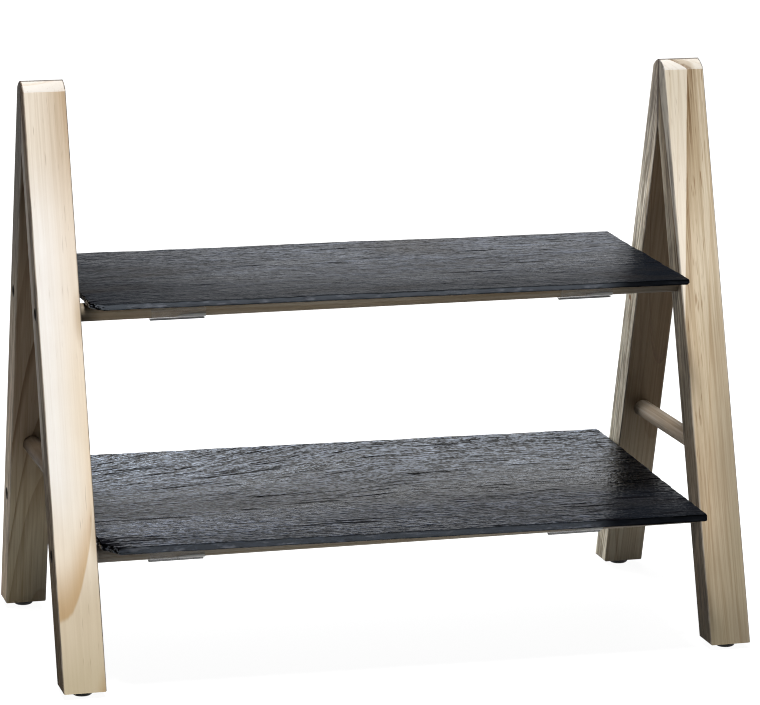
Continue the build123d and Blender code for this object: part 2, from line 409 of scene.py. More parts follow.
class Nodes:
    """A node tree, and what the materials put in it."""

    def __init__(self, tree):
        self.tree = tree

    def put(self, node, key, value):
        """Link an input to a Value, and set it to anything else."""
        if isinstance(value, Value):
            self.tree.links.new(value.socket, node.inputs[key])
        else:
            node.inputs[key].default_value = value

    def add(self, kind, inputs=None, **settings):
        """A new node."""
        node = self.tree.nodes.new("ShaderNode" + kind)
        for name, setting in settings.items():
            setattr(node, name, setting)
        for key, value in (inputs or {}).items():
            self.put(node, key, value)
        return node

    def value(self, kind, inputs=None, output=0, **settings):
        """One output of a new node."""
        return Value(self, self.add(kind, inputs, **settings).outputs[output])

    def group(self, name, inputs):
        """The outputs of a shared effect."""
        node = self.add("Group", node_tree=bpy.data.node_groups[name])
        for key, value in inputs.items():
            self.put(node, key, value)
        return {socket.name: Value(self, socket) for socket in node.outputs}

    def coordinates(self, kind):
        return self.value("TexCoord", None, kind)

    def join(self, **parts):
        """A vector from its X, Y and Z."""
        return self.value("CombineXYZ", parts)

    def noise(self, place, per_metre, detail=2.0, roughness=0.55, distortion=0.0):
        """Cloudy values round 0.5, with per_metre clouds in a metre."""
        inputs = {
            "Vector": place * per_metre, "Scale": 1.0, "Detail": detail, "Roughness": roughness,
            "Distortion": distortion,
        }
        return self.value("TexNoise", inputs)

    def mix(self, factor, first, second):
        """The number first where factor is 0 and second where it is 1."""
        return self.value("Mix", {0: factor, 2: first, 3: second}, data_type="FLOAT")

    def blend(self, factor, first, second, how="MIX"):
        """The colour first where factor is 0 and second where it is 1."""
        inputs = {0: factor}
        for key, value in ((6, first), (7, second)):
            inputs[key] = value if isinstance(value, Value) else (*value, 1.0)
        return self.value("Mix", inputs, 2, data_type="RGBA", blend_type=how)

    def bump(self, height, strength, distance):
        inputs = {"Height": height, "Strength": strength, "Distance": distance}
        return self.value("Bump", inputs, "Normal")


def fresh_nodes(owner):
    """The emptied node tree of a material or a world."""
    owner.use_nodes = True
    owner.node_tree.nodes.clear()
    return Nodes(owner.node_tree)


class Surface(Nodes):
    """The node tree of a new material with a Principled shader."""

    def __init__(self, name):
        self.material = bpy.data.materials.new(name)
        super().__init__(fresh_nodes(self.material).tree)
        self.shader = self.add("BsdfPrincipled")
        self.add("OutputMaterial", {"Surface": Value(self, self.shader.outputs[0])})

    def finish(self, inputs):
        """Give the shader its inputs, and return the material."""
        for key, value in inputs.items():
            self.put(self.shader, key, value)
        return self.material


def new_group(name, inputs, outputs, kind="Float"):
    """A shader node group: its nodes, its inputs and a function that links its outputs."""
    tree = bpy.data.node_groups.new(name, "ShaderNodeTree")
    for label, default in inputs.items():
        socket_type = "NodeSocketVector" if isinstance(default, tuple) else "NodeSocketFloat"
        tree.interface.new_socket(label, in_out="INPUT", socket_type=socket_type).default_value = default
    for label in outputs:
        tree.interface.new_socket(label, in_out="OUTPUT", socket_type="NodeSocket" + kind)
    entry = tree.nodes.new("NodeGroupInput")
    exit_node = tree.nodes.new("NodeGroupOutput")
    nodes = Nodes(tree)

    def finish(**results):
        for label, value in results.items():
            nodes.put(exit_node, label, value)

    return nodes, {label: Value(nodes, entry.outputs[label]) for label in inputs}, finish


# Shared effects


def make_grain_frame():
    """A piece's own frame with Z along its grain: the object's coordinates, turned and then shifted."""
    nodes, given, finish = new_group(
        "Grain frame", {"Turn": (0, 0, 0), "Shift": (0, 0, 0)}, ("Vector",), kind="Vector"
    )
    inputs = {"Vector": nodes.coordinates("Object"), "Rotation": given["Turn"]}
    finish(Vector=nodes.value("VectorRotate", inputs, rotation_type="EULER_XYZ") + given["Shift"])


def make_growth_rings():
    """Rings round a pith that leans and bends along the grain: late wood, heartwood, and the stain at the
    heartwood's edge with a wider zone beside it."""
    nodes, given, finish = new_group(
        "Growth rings",
        {
            "Vector": (0, 0, 0), "Pith": (0, 0.06, 0), "Tilt": (0, 0, 0), "Bend": 0.0, "Ring Width": 0.007,
            "Uneven": 1.0, "Heart Radius": 0.0, "Seed": 0.0,
        },
        ("Late", "Heart", "Stain", "Beside"),
    )
    place, seed, uneven = given["Vector"], given["Seed"], given["Uneven"]
    along = place.parts()[2]
    pith = given["Pith"] + given["Tilt"] * along + nodes.join(Y=along * along * given["Bend"])
    waver = nodes.noise(place + nodes.join(Z=seed), (70, 70, 7), detail=3) - 0.5
    radius = ((place - pith) * (1, 1, 0)).measure("LENGTH") + waver * 0.0008
    squeeze = nodes.noise(nodes.join(X=radius, Y=seed), (260, 1, 1), detail=1) * uneven
    phase = (radius + squeeze * 0.006) / given["Ring Width"]
    growth = phase.apply("FRACT")
    year = nodes.value("TexWhiteNoise", {"W": phase.apply("FLOOR")}, "Value", noise_dimensions="1D")
    inside = given["Heart Radius"] - radius
    heart = inside.ease(-0.0001, 0.0003)
    finish(
        Late=growth.ease(0.62, 0.96) * growth.fade(0.965, 1.0) * (1 - year * uneven * 0.8),
        Heart=heart,
        Stain=heart * inside.fade(0.0010, 0.0030),
        Beside=heart * inside.fade(0.0045, 0.0070),
    )


def make_wood_fibre():
    """Fine and broader lines along the grain, short dark streaks and flecks, and a saw's furrows."""
    nodes, given, finish = new_group(
        "Wood fibre", {"Vector": (0, 0, 0), "Seed": 0.0}, ("Fibre", "Band", "Streak", "Fleck", "Furrow")
    )
    place = given["Vector"] + nodes.join(Z=given["Seed"])
    stroke = nodes.noise(place, (1100, 1100, 55), detail=1).ease(0.66, 0.76)
    finish(
        Fibre=nodes.noise(place, (1000, 1000, 22), detail=3, roughness=0.65),
        Band=nodes.noise(place, (520, 520, 7), roughness=0.6),
        Streak=stroke * nodes.noise(place, (60, 60, 9)).ease(0.42, 0.62),
        Fleck=nodes.noise(place, (1100, 1100, 50), detail=1).ease(0.62, 0.69),
        Furrow=nodes.noise(place, (400, 400, 28), detail=3, roughness=0.75).ease(0.40, 0.62),
    )


def make_edge_wear():
    """Where a square stick's long edges are, rubbed unevenly."""
    nodes, given, finish = new_group(
        "Edge wear", {"Vector": (0, 0, 0), "Half Size": (0.014, 0.011, 1.0), "Ease": 0.001}, ("Wear",)
    )
    half_width, half_thickness, _ = given["Half Size"].parts()
    across, square, _ = abs(given["Vector"]).parts()
    from_edge = (half_width - across) / given["Ease"] + (half_thickness - square) / given["Ease"]
    patchy = nodes.noise(given["Vector"], (90, 90, 40), detail=3).ease(0.35, 0.65, 0.3, 1.0)
    finish(Wear=from_edge.fade(0.3, 1.5) * patchy)


def make_handling_marks():
    """Soft smudges and fine speckles, as handling and dust leave them."""
    nodes, given, finish = new_group(
        "Handling marks", {"Vector": (0, 0, 0), "Clouds": 40.0, "Specks": 900.0}, ("Smudge", "Speck")
    )
    smudge, speck = (nodes.noise(given["Vector"], given[size], 4.0, 0.6) for size in ("Clouds", "Specks"))
    finish(Smudge=smudge.ease(0.38, 0.66), Speck=speck.ease(0.60, 0.72))


# Pine


def leg_frame(leg, side):
    """The turn and the shift that lead to a leg's own frame, and half of the leg's width."""
    pine = bpy.context.scene.stand_pine
    low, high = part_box(leg)
    turn = -side * pine.lean
    outer = low.y if side < 0 else high.y
    outer_across = outer * cos(turn) - low.z * sin(turn)
    end_along = low.z * cos(turn) - abs(outer) * sin(pine.lean)
    shift = (-(low.x + high.x) / 2, -outer_across + side * pine.thickness / 2, -end_along)
    return turn, shift, (high.x - low.x) / 2


def make_leg_pine(end_name, side_name):
    """One leg's pine, with its own growth rings, so that the grain runs on from face to face."""
    pine = bpy.context.scene.stand_pine
    board = {**COMMON_BOARD, **LEG_BOARDS[f"{end_name}_{side_name}"]}
    side = SIDES[side_name]
    turn, shift, half_width = leg_frame(f"{end_name}_{side_name}_leg", side)
    nodes = Surface(f"{end_name}_{side_name}_leg_pine")
    place = nodes.group("Grain frame", {"Turn": (turn, 0, 0), "Shift": shift})["Vector"]
    rings = nodes.group("Growth rings", {
        "Vector": place, "Pith": (*board["pith"], 0), "Tilt": (*board["tilt"], 0), "Bend": board["bend"],
        "Ring Width": board["rings"], "Uneven": board["uneven"], "Heart Radius": board["heart"],
        "Seed": board["seed"],
    })
    fibre = nodes.group("Wood fibre", {"Vector": place, "Seed": board["seed"]})
    half_size = (half_width, pine.thickness / 2, 1.0)
    wear = nodes.group("Edge wear", {"Vector": place, "Half Size": half_size, "Ease": pine.ease})["Wear"]
    smudge = nodes.group("Handling marks", {"Vector": place, "Clouds": 18.0, "Specks": 700.0})["Smudge"]
    across, square, up = place.parts()
    sawn = abs(across).ease(half_width - 0.0009, half_width - 0.0003)
    facing = nodes.coordinates("Normal").measure("DOT_PRODUCT", (0, -sin(turn), cos(turn)))
    end_grain = abs(facing).ease(0.45, 0.85)

    # Early wood with partly painted light along the leg, heartwood, late wood, and the stain at the edge of
    # the heartwood
    inner, outer = (up.tones(board[edge]) for edge in ("inner", "outer"))
    wood = inner.blend(across.ease(-half_width * 0.8, half_width), outer)
    wood = wood.blend(end_grain * 0.85, pine.end_grain)
    wood = wood.shade(rings["Heart"] * end_grain.span(1.0, 0.5), pine.heart)
    late = rings["Late"] * up.ease(0.07, 0.13, 1.0 - board["plain"], board["aloft"])
    wood = wood.shade(late, board["late"])
    wood = wood.shade(rings["Stain"] * fibre["Band"].ease(0.38, 0.60, 0.35, 1.0) * 0.9, pine.stain)
    wood = wood.shade(rings["Beside"] * fibre["Fleck"] * (1 - end_grain) * 0.85, pine.stain)
    wide_stain = rings["Beside"] * up.ease(0.24, 0.34, 0.0, 0.7) * across.fade(0.005, 0.009)
    wood = wood.shade(wide_stain, pine.line)

    # Finer lines along the grain
    figure = end_grain.span(1.0, 0.1) * up.ease(0.30, 0.36, board["figure"], board["crown"])
    if board["heart"]:
        figure = figure * rings["Heart"].span(0.4, 1.0)
    wood = wood.shade(fibre["Band"].ease(0.42, 0.66) * figure, pine.line)
    wood = wood.shade(fibre["Fibre"].ease(0.36, 0.66) * figure * 0.7, pine.line)

    # Sawn sides with mostly painted light and shade, and painted shade on the face turned to the other leg
    wood = wood.blend(sawn, wood.shade(1.0, up.tones(board["sides"])))
    furrow = fibre["Furrow"] * sawn
    wood = wood.shade(furrow * board["furrows"], pine.furrow)
    inward = square * -side
    bare = inward.ease(-0.001, 0.004) * up.ease(0.13, 0.19) * fibre["Band"].ease(0.35, 0.60, 1.0, 0.35)
    bare = bare * sawn * board["bare"]
    wood = wood.blend(bare, pine.bare)
    # Painted shade on the face turned to the other leg, fading out towards the foot
    inward_shade = inward.ease(0.0096, 0.0104) * (1 - sawn) * up.ease(0.04, 0.15)
    wood = wood.shade(inward_shade, board["inward_shade"])

    # Resin, smudges, painted shadows of the slate corners, a knot, painted shade in the screw holes, the
    # glue line and worn edges
    wood = wood.blend(fibre["Streak"] * 0.45, pine.resin)
    wood = wood.blend(smudge * 0.06, pine.brown)
    for up_leg in board["slate_corner_shadows"]:
        spot = place - (half_width, side * pine.thickness / 2, up_leg)
        # Painted shadow of a slate's corner on the +X edge of the front face
        rubbed = (spot * (1, 1, 0.28)).measure("LENGTH").fade(0.0012, 0.0068, 0.75)
        wood = wood.shade(rubbed, pine.line)
    wood = wood.blend(place.measure("DISTANCE", board["knot"]).fade(0.0012, 0.0032), pine.resin)
    on_stand = nodes.coordinates("Object")
    # Painted shade inside the screw holes at each dowel
    for tier in TIERS:
        low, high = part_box(f"{tier}_{side_name}_dowel")
        off_axis = ((on_stand - (low + high) / 2) * (0, 1, 1)).measure("LENGTH")
        wood = wood.blend(off_axis.fade(pine.bore, pine.bore + 0.0004, 0.95), pine.hole_shade)
    off_mitre = abs(on_stand.parts()[1])
    wood = wood.blend(off_mitre.fade(pine.glue_line / 2, pine.glue_line) * 0.9, pine.glue)
    wood = wood.blend(wear * sawn.span(0.2, 0.5), pine.worn)

    height = fibre["Fibre"] * sawn.span(0.6, 2.0) - furrow * 1.2
    height = height + rings["Late"] * 0.3 - fibre["Streak"] * 0.5
    return nodes.finish({
        "Base Color": wood,
        "Roughness": rings["Late"].span(0.62, 0.50) - wear * 0.08 + sawn * 0.18,
        "Normal": nodes.bump(height, 0.35, 0.0002),
        "Specular IOR Level": sawn.span(PINE_SHEEN, board["sheen"]) + bare * 0.35,
    })


def make_turned_pine(name, turn, seed):
    """Pine of a dowel, rung or tenon, with its grain along the piece."""
    pine = bpy.context.scene.stand_pine
    low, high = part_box(name)
    middle = (low + high) / 2
    middle.rotate(Euler(turn))
    nodes = Surface(f"{name}_pine")
    place = nodes.group("Grain frame", {"Turn": turn, "Shift": tuple(-middle)})["Vector"]
    late = nodes.group("Growth rings", {
        "Vector": place, "Pith": (0.012, 0.015, 0), "Tilt": (0.012, -0.01, 0), "Ring Width": 0.0022,
        "Seed": seed,
    })["Late"]
    fibre = nodes.group("Wood fibre", {"Vector": place, "Seed": seed})
    smudge = nodes.group("Handling marks", {"Vector": place, "Clouds": 30.0, "Specks": 900.0})["Smudge"]
    along = place.parts()[2] + RAMP_LENGTH / 2
    # These tones hold painted shade at the ends of the front dowels and on the left rung
    wood = along.tones(TURNED_TONES_AND_SHADE.get(name, ((0.0, pine.tenon),)))
    wood = wood.shade(late * 0.5, pine.line)
    wood = wood.shade(fibre["Band"].ease(0.40, 0.62, 0.0, 0.7), pine.line)
    wood = wood.shade(fibre["Streak"] * 0.7, pine.stain)
    wood = wood.blend(smudge * 0.12, pine.brown)
    return nodes.finish({
        "Base Color": wood,
        "Roughness": fibre["Fibre"].ease(0.3, 0.7, 0.50, 0.66),
        "Normal": nodes.bump(fibre["Fibre"], 0.4, 0.0002),
        "Specular IOR Level": TURNED_SHEEN.get(name, PINE_SHEEN),
    })


# Slate


def smooth_noise(rng, along, across, cell_along, cell_across):
    """Smooth random values from -1 to 1 at the given places, in clouds of cell_along by cell_across."""
    columns = (along - along.min()) / cell_along
    rows = (across - across.min()) / cell_across
    lattice = rng.uniform(-1, 1, (int(rows.max()) + 2, int(columns.max()) + 2))
    row, column = rows.astype(int), columns.astype(int)
    up, over = rows - row, columns - column
    up, over = up * up * (3 - 2 * up), over * over * (3 - 2 * over)
    near = lattice[row, column] * (1 - over) + lattice[row, column + 1] * over
    far = lattice[row + 1, column] * (1 - over) + lattice[row + 1, column + 1] * over
    return near * (1 - up) + far * up


def riven_relief(rng, x, y, roughness):
    """Height of a split slate face, from 0 to 1: thin layers that step down, with ripples on them."""
    slant = radians(5)
    along = x * cos(slant) + y * sin(slant)
    across = -x * sin(slant) + y * cos(slant)
    swell = smooth_noise(rng, along, across, 0.11, 0.05)
    swell = swell + 0.5 * smooth_noise(rng, along, across, 0.04, 0.014)
    layers = 2.6 * swell + 0.35 * smooth_noise(rng, along, across, 0.012, 0.004)
    floor = np.floor(layers)
    rise = np.clip((layers - floor - 0.8) / 0.2, 0, 1)
    steps = floor + rise * rise * (3 - 2 * rise)
    ripple = smooth_noise(rng, along, across, 0.020, 0.0042)
    ripple = ripple + 0.7 * smooth_noise(rng, along, across, 0.009, 0.0026)
    fan = radians(-24)
    skew_along = x * cos(fan) + y * sin(fan)
    skew_across = -x * sin(fan) + y * cos(fan)
    skew = smooth_noise(rng, skew_along, skew_across, 0.030, 0.0048)
    corner = np.exp(-(((x - x.min()) / 0.16) ** 2) - ((y - y.max()) / 0.10) ** 2)
    height = 0.5 * steps + roughness * (0.42 * ripple + 0.9 * corner * skew)
    return (height - height.min()) / (height.max() - height.min())


def edge_nicks(rng, places, count, deepest):
    """How far small flakes have come off along an edge."""
    lost = np.zeros_like(places)
    middles = rng.uniform(places.min(), places.max(), count)
    for middle, width, depth in zip(middles, rng.uniform(0.004, 0.016, count), rng.uniform(0.1, 1, count)):
        flake = np.clip(1 - ((places - middle) / width) ** 2, 0, None)
        lost = np.maximum(lost, deepest * depth**2 * flake)
    return lost


def rim_of(grid):
    """The border of a grid of numbers, once round: front, right, rear and left."""
    return np.concatenate([grid[0, :-1], grid[:-1, -1], grid[-1, :0:-1], grid[:0:-1, 0]])


def make_slate_mesh(name, box, depth, turn, board):
    """A split slate board with dressed edges, nicks and one chipped corner."""
    slate = bpy.context.scene.stand_slate
    rng = np.random.default_rng(board["seed"])
    low, high = box
    top, bottom = high.z, low.z
    centre_y = (low.y + high.y) / 2
    columns = round(slate.length / slate.cell_along) + 1
    rows = round(depth / slate.cell_across) + 1
    half_length, half_depth = slate.length / 2, depth / 2
    along = np.linspace(-half_length, half_length, columns)
    across = np.linspace(-half_depth, half_depth, rows)

    # The two split faces, drawn in from the outline by the bevel, the nicks and the chip
    chip_along, chip_back = board["chip"]
    cut = np.clip(1 - (across + half_depth) / chip_back, 0, None) * chip_along
    ragged = 0.0009 * smooth_noise(rng, across, across * 0, 0.0035, 1.0) * (cut > 0)
    left = -half_length + slate.bevel + edge_nicks(rng, across, 14, 0.0012) + cut + np.abs(ragged)
    right = half_length - slate.bevel - edge_nicks(rng, across, 12, 0.0008)
    front = -half_depth + slate.bevel + edge_nicks(rng, along, 26, 0.0009)
    rear = half_depth - slate.bevel - edge_nicks(rng, along, 26, 0.0011)
    over = np.linspace(0, 1, columns)[None, :]
    back = np.linspace(0, 1, rows)[:, None]
    x = left[:, None] * (1 - over) + right[:, None] * over
    y = front[None, :] * (1 - back) + rear[None, :] * back
    upper_z = top - slate.relief * (1 - riven_relief(rng, x, y, board["roughness"]))
    drawn_in = slate.split - slate.bevel
    lower_x, lower_y = x * (1 - drawn_in / half_length), y * (1 - drawn_in / half_depth)
    lower_z = bottom + 0.5 * slate.relief * riven_relief(rng, lower_x, lower_y, board["roughness"])

    # Bands round the edge, pushed out from the rim
    rim_x, rim_y, rim_z = rim_of(x), rim_of(y), rim_of(upper_z)
    way_x = np.roll(rim_x, -1) - np.roll(rim_x, 1)
    way_y = np.roll(rim_y, -1) - np.roll(rim_y, 1)
    run = np.hypot(way_x, way_y)
    out_x, out_y = way_y / run, -way_x / run
    walk = np.cumsum(run)
    shards = [smooth_noise(rng, walk, walk * 0, 0.006, 1.0) for _ in range(3)]
    bands = (
        (1.0, rim_z - slate.bevel * (1.0 + 0.5 * shards[0])),
        (0.8, (top + bottom) / 2 + 0.0004 * shards[1]),
        (1.0, bottom + slate.split * (1.0 + 0.35 * shards[2])),
    )
    points = [np.stack([x.ravel(), y.ravel(), upper_z.ravel()], 1)]
    for reach, z in bands:
        step = slate.bevel * reach
        points.append(np.stack([rim_x + out_x * step, rim_y + out_y * step, z], 1))
    points.append(np.stack([lower_x.ravel(), lower_y.ravel(), lower_z.ravel()], 1))
    points = np.concatenate(points)
    turned = points.copy()
    turned[:, 0] = points[:, 0] * cos(turn) - points[:, 1] * sin(turn)
    turned[:, 1] = points[:, 0] * sin(turn) + points[:, 1] * cos(turn) + centre_y

    count, around = rows * columns, len(rim_x)
    lower_first = count + len(bands) * around
    ids = np.arange(count).reshape(rows, columns)
    loops = [rim_of(ids)]
    loops += [count + band * around + np.arange(around) for band in range(len(bands))]
    loops.append(rim_of(ids) + lower_first)
    quads = np.stack([ids[:-1, :-1], ids[:-1, 1:], ids[1:, 1:], ids[1:, :-1]], 2).reshape(-1, 4)
    faces = [quads, quads[:, ::-1] + lower_first]
    for above, below in zip(loops, loops[1:]):
        faces.append(np.stack([above, below, np.roll(below, -1), np.roll(above, -1)], 1))
    mesh = new_mesh(name, turned.tolist(), np.concatenate(faces).tolist(), 38)
    dressed = np.zeros(len(turned), np.float32)
    dressed[count:lower_first] = 1.0
    mesh.attributes.new("dressed", "FLOAT", "POINT").data.foreach_set("value", dressed)
    return mesh


def make_slate_stone(name, turn, centre_y, half_depth, board):
    """Split slate: flakes streaked along the board, hairline splits, edges dressed smooth, and painted sheen
    and shade in flakes and reflection.
    """
    slate = bpy.context.scene.stand_slate
    nodes = Surface(f"{name}_stone")
    place = nodes.group("Grain frame", {"Turn": (0, 0, -turn), "Shift": (0, -centre_y, 0)})["Vector"]
    across, back, _ = place.parts()
    lift = (0.02 - across).at_least(0.0) * back.ease(-0.12, 0.14) * board["ripple"]
    bed = place + nodes.join(X=board["seed"], Y=lift, Z=board["seed"])
    speck = nodes.group("Handling marks", {"Vector": bed, "Clouds": 28.0, "Specks": 700.0})["Speck"]
    ledge = nodes.noise(bed, (14, 70, 300), roughness=0.6)
    streak = nodes.noise(bed, (105, 420, 900), detail=1, roughness=0.6)
    grit = nodes.noise(bed, (400, 350, 900), detail=1, roughness=0.6)
    broad = nodes.noise(bed, (8, 16, 16), detail=3)
    fan = across.fade(-0.19, -0.03) * back.ease(-0.03, 0.06)
    hairline = nodes.noise(bed, (22, 260, 200), distortion=0.4) + fan * board["fan"]
    split = hairline.ease(board["cracks"], board["cracks"] + 0.05)
    dressed = nodes.value("Attribute", None, "Fac", attribute_name="dressed")

    # The right end and the left of the front lie in shade
    shade = (across - back * 0.34).ease(board["corner"] - 0.022, board["corner"] + 0.006)
    open_side = across.ease(-0.200, -0.165, board["dim"], 1.0).at_least(back.ease(-0.02, 0.05))
    lit = (1 - shade * 0.95) * open_side
    left_sheen_and_shade = across.ease(-0.20, -0.02, board["left"], 1.0)

    # Flakes with painted sheen and shade, patches, splits, bruises on the edge and the broken corner
    ridges = streak * 0.55 + grit * 0.45
    flake_sheen_and_shade = back.ease(-half_depth, half_depth * 0.7, *board["flakes"]) * left_sheen_and_shade
    flake_sheen_and_shade = flake_sheen_and_shade * ledge.ease(0.36, 0.64, 0.55, 1.45) * lit
    stone = nodes.blend(ridges.ease(*board["spread"]) * flake_sheen_and_shade, slate.dark, slate.grey_and_sheen)
    stone = stone.blend(broad.ease(0.5, 0.7, 0.0, board["patch"]), slate.rust)
    stone = stone.blend(split, slate.fresh)
    bruise = nodes.noise(place, (70, 70, 200), detail=3).ease(0.52, 0.68, 0.0, 0.55)
    stone = stone.blend(bruise * dressed * lit, slate.chalk)
    # Broken stone round the chip: fresh stone, painted near-black partly as the shade in the chip
    from_corner = (place - (-slate.length / 2, -half_depth, 0)) * (1, 0.28, 0)
    ragged = ledge * 0.025 + streak * 0.045 - 0.035
    broken = (from_corner.measure("LENGTH") + ragged).fade(board["broken"] * 0.7, board["broken"] * 1.5)
    stone = stone.blend(broken, slate.fresh)

    # Painted reflection: stronger towards the rear and towards one end, cut by the painted shade, and taken
    # out of the hollows between the ridges as painted shade
    unbroken = 1 - broken
    calm = back.ease(-half_depth, half_depth, *board["calm"])
    sparkle = nodes.mix(calm, ridges.ease(*board["spread"], 0.03, 2.8), 1.0) * (1 - split * 0.9)
    level = back.ease(-half_depth, half_depth * 0.8, board["front"], board["rear"])
    level = level * left_sheen_and_shade * lit * unbroken
    height = (streak + grit * 0.6 + ledge * 0.8 - split * 0.5) * (1 - dressed * 0.85)
    return nodes.finish({
        "Base Color": stone,
        "Roughness": broad.ease(0.35, 0.65, 0.25, 0.36) + split * 0.3 + speck * 0.12,
        "Specular IOR Level": nodes.mix(dressed, level * sparkle, lit * unbroken * board["edge"]),
        "Specular Tint": (0.78, 0.87, 1.0, 1.0),
        "Normal": nodes.bump(height, 1.0, 0.0014),
    })


# Fittings


def make_clip_plastic(name, lowest):
    """Thin clear plastic, seen best where it turns away and along its lip, which are painted dark in place
    of refraction, and in a painted highlight above that.
    """
    fittings = bpy.context.scene.stand_fittings
    nodes = Surface(name)
    place = nodes.coordinates("Object")
    smudge = nodes.group("Handling marks", {"Vector": place, "Clouds": 160.0, "Specks": 2500.0})["Smudge"]
    turned_away = nodes.value("LayerWeight", {"Blend": 0.35}, "Facing")
    rise = place.parts()[2] - lowest
    lip = rise.fade(0.0005, 0.0011)
    along = nodes.coordinates("Generated").parts()[0]
    # Painted highlight in a band above the lip, growing towards one end of each clip
    painted_gleam = rise.ease(0.0016, 0.0026) * rise.fade(0.0036, 0.0052) * along.ease(0.25, 0.85)
    tint = nodes.blend(smudge * 0.5, fittings.plastic, fittings.scuffed)
    # Painted darkness on the walls seen edge on and on the lip, in place of refraction
    tint = tint.blend(turned_away.ease(0.45, 0.80).at_least(lip), fittings.painted_edge_darkness)
    body = turned_away.ease(0.35, 0.85, 0.08, 0.35) + smudge * 0.05
    return nodes.finish({
        "Base Color": tint.blend(painted_gleam, fittings.painted_gleam),
        "Roughness": smudge.span(0.05, 0.20),
        "Normal": nodes.bump(nodes.noise(place, (25, 900, 900)), 0.15, 0.0002),
        "Alpha": body.at_least(lip * 0.95).at_least(painted_gleam * 0.8),
        "IOR": 1.49,
        "Specular IOR Level": lip.span(0.5, 0.05),
    })


def make_foot_rubber():
    """Matt black rubber, dusty where it is handled and rubbed where it stands."""
    fittings = bpy.context.scene.stand_fittings
    nodes = Surface("foot_matt_rubber")
    place = nodes.coordinates("Object")
    marks = nodes.group("Handling marks", {"Vector": place, "Clouds": 220.0, "Specks": 2600.0})
    dust = marks["Smudge"] * 0.25 + marks["Speck"] * 0.3
    return nodes.finish({
        "Base Color": nodes.blend(dust, fittings.rubber, fittings.rubber_dust),
        "Roughness": marks["Smudge"].span(0.62, 0.82),
        "Normal": nodes.bump(nodes.noise(place, (4000, 4000, 4000)), 0.3, 0.0001),
        "Specular IOR Level": 0.35,
    })


def make_screw_steel():
    """Black oxide on steel, rubbed bright in places by the driver."""
    fittings = bpy.context.scene.stand_fittings
    nodes = Surface("screw_black_oxide")
    place = nodes.coordinates("Object")
    marks = nodes.group("Handling marks", {"Vector": place, "Clouds": 420.0, "Specks": 3500.0})
    return nodes.finish({
        "Base Color": nodes.blend(marks["Speck"] * 0.3, fittings.oxide, fittings.bare_steel),
        "Roughness": marks["Smudge"].span(0.34, 0.52),
        "Normal": nodes.bump(nodes.noise(place, (5000, 5000, 5000)), 0.2, 0.0001),
        "Metallic": 1.0,
    })


def new_mesh(name, points, faces, sharp_angle):
    """A smooth mesh, with edges sharp where faces meet at more than sharp_angle degrees."""
    mesh = bpy.data.meshes.new(name)
    mesh.from_pydata(points, [], faces)
    mesh.shade_smooth()
    mesh.set_sharp_from_angle(angle=radians(sharp_angle))
    return mesh


def grid_faces(rows, columns, first=0, closed=False):
    """Quads of a grid of points, row by row; a closed grid's columns join up."""
    faces = []
    for row in range(rows - 1):
        for column in range(columns if closed else columns - 1):
            beside = (column + 1) % columns
            here, above = first + row * columns, first + (row + 1) * columns
            faces.append((here + column, here + beside, above + beside, above + column))
    return faces


def make_turned_mesh(name, profile, segments):
    """A solid of revolution about Z from (radius, height) points, closed by a point at each end."""
    points = [(0.0, 0.0, profile[0][1])]
    for radius, height in profile:
        for step in range(segments):
            way = 2 * pi * step / segments
            points.append((radius * cos(way), radius * sin(way), height))
    points.append((0.0, 0.0, profile[-1][1]))
    faces = grid_faces(len(profile), segments, first=1, closed=True)
    last = len(points) - 1
    for step in range(segments):
        beside = (step + 1) % segments
        faces.append((0, 1 + beside, 1 + step))
        faces.append((last, last - segments + step, last - segments + beside))
    return new_mesh(name, points, faces, 50)


def foot_profile(radius, height, rounding):
    """A moulded foot: a shallow dimple below, a rounded lower edge, and a slightly tapered wall."""
    steps = 8
    taper = 0.0003
    dimple = 0.0003
    profile = [(radius * 0.25, dimple), (radius * 0.5, dimple * 0.3), (radius - rounding - taper, 0.0)]
    for step in range(1, steps + 1):
        way = pi / 2 * step / steps
        profile.append((radius - taper - rounding * (1 - sin(way)), rounding * (1 - cos(way))))
    profile += [(radius - taper * 0.3, height * 0.8), (radius, height - 0.0003), (radius - 0.0003, height)]
    return profile


def screw_head_points(radius, height, recess_depth, steps):
    """A pan head's face as a square grid drawn out to a circle, with a cross sunk into it."""
    line = np.linspace(-1, 1, steps)
    u, v = np.meshgrid(line, line)
    x, y = u * np.sqrt(1 - v * v / 2), v * np.sqrt(1 - u * u / 2)
    from_middle = np.hypot(x, y)
    pan = height * (0.35 + 0.65 * np.sqrt(np.clip(1 - from_middle**3.2, 0, 1)))
    x, y = x * radius, y * radius
    arm_length, arm_width = 0.56 * radius, 0.13 * radius
    edge = 0.05 * radius

    def inside(value, limit):
        return np.clip((limit + edge / 2 - np.abs(value)) / edge, 0, 1)

    cross = np.maximum(
        inside(x, arm_length) * inside(y, arm_width), inside(y, arm_length) * inside(x, arm_width)
    )
    sunk = 1 - 0.35 * np.maximum(np.abs(x), np.abs(y)) / arm_length
    return x, y, pan - recess_depth * cross * sunk


def make_object(name, mesh, material, body, slot, *nodes):
    """Link a piece, give it its material, tell the frame what it rides on and hide the nodes that it stands
    in for.
    """
    piece = bpy.data.objects.new(name, mesh)
    bpy.context.scene.collection.objects.link(piece)
    piece.data.materials.append(material)
    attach(piece, body)
    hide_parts(*nodes)


def finish_node(name, material):
    """Give a CAD node its material."""
    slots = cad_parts[name].data.materials
    slots.clear()
    slots.append(material)


# Operators


class STAND_OT_legs(Operator):
    """Give each leg its own pine"""

    bl_idname = "stand.legs"
    bl_label = "Pine Legs"

    def execute(self, context):
        for end_name in ENDS:
            for side_name in SIDES:
                finish_node(f"{end_name}_{side_name}_leg", make_leg_pine(end_name, side_name))
        return {"FINISHED"}


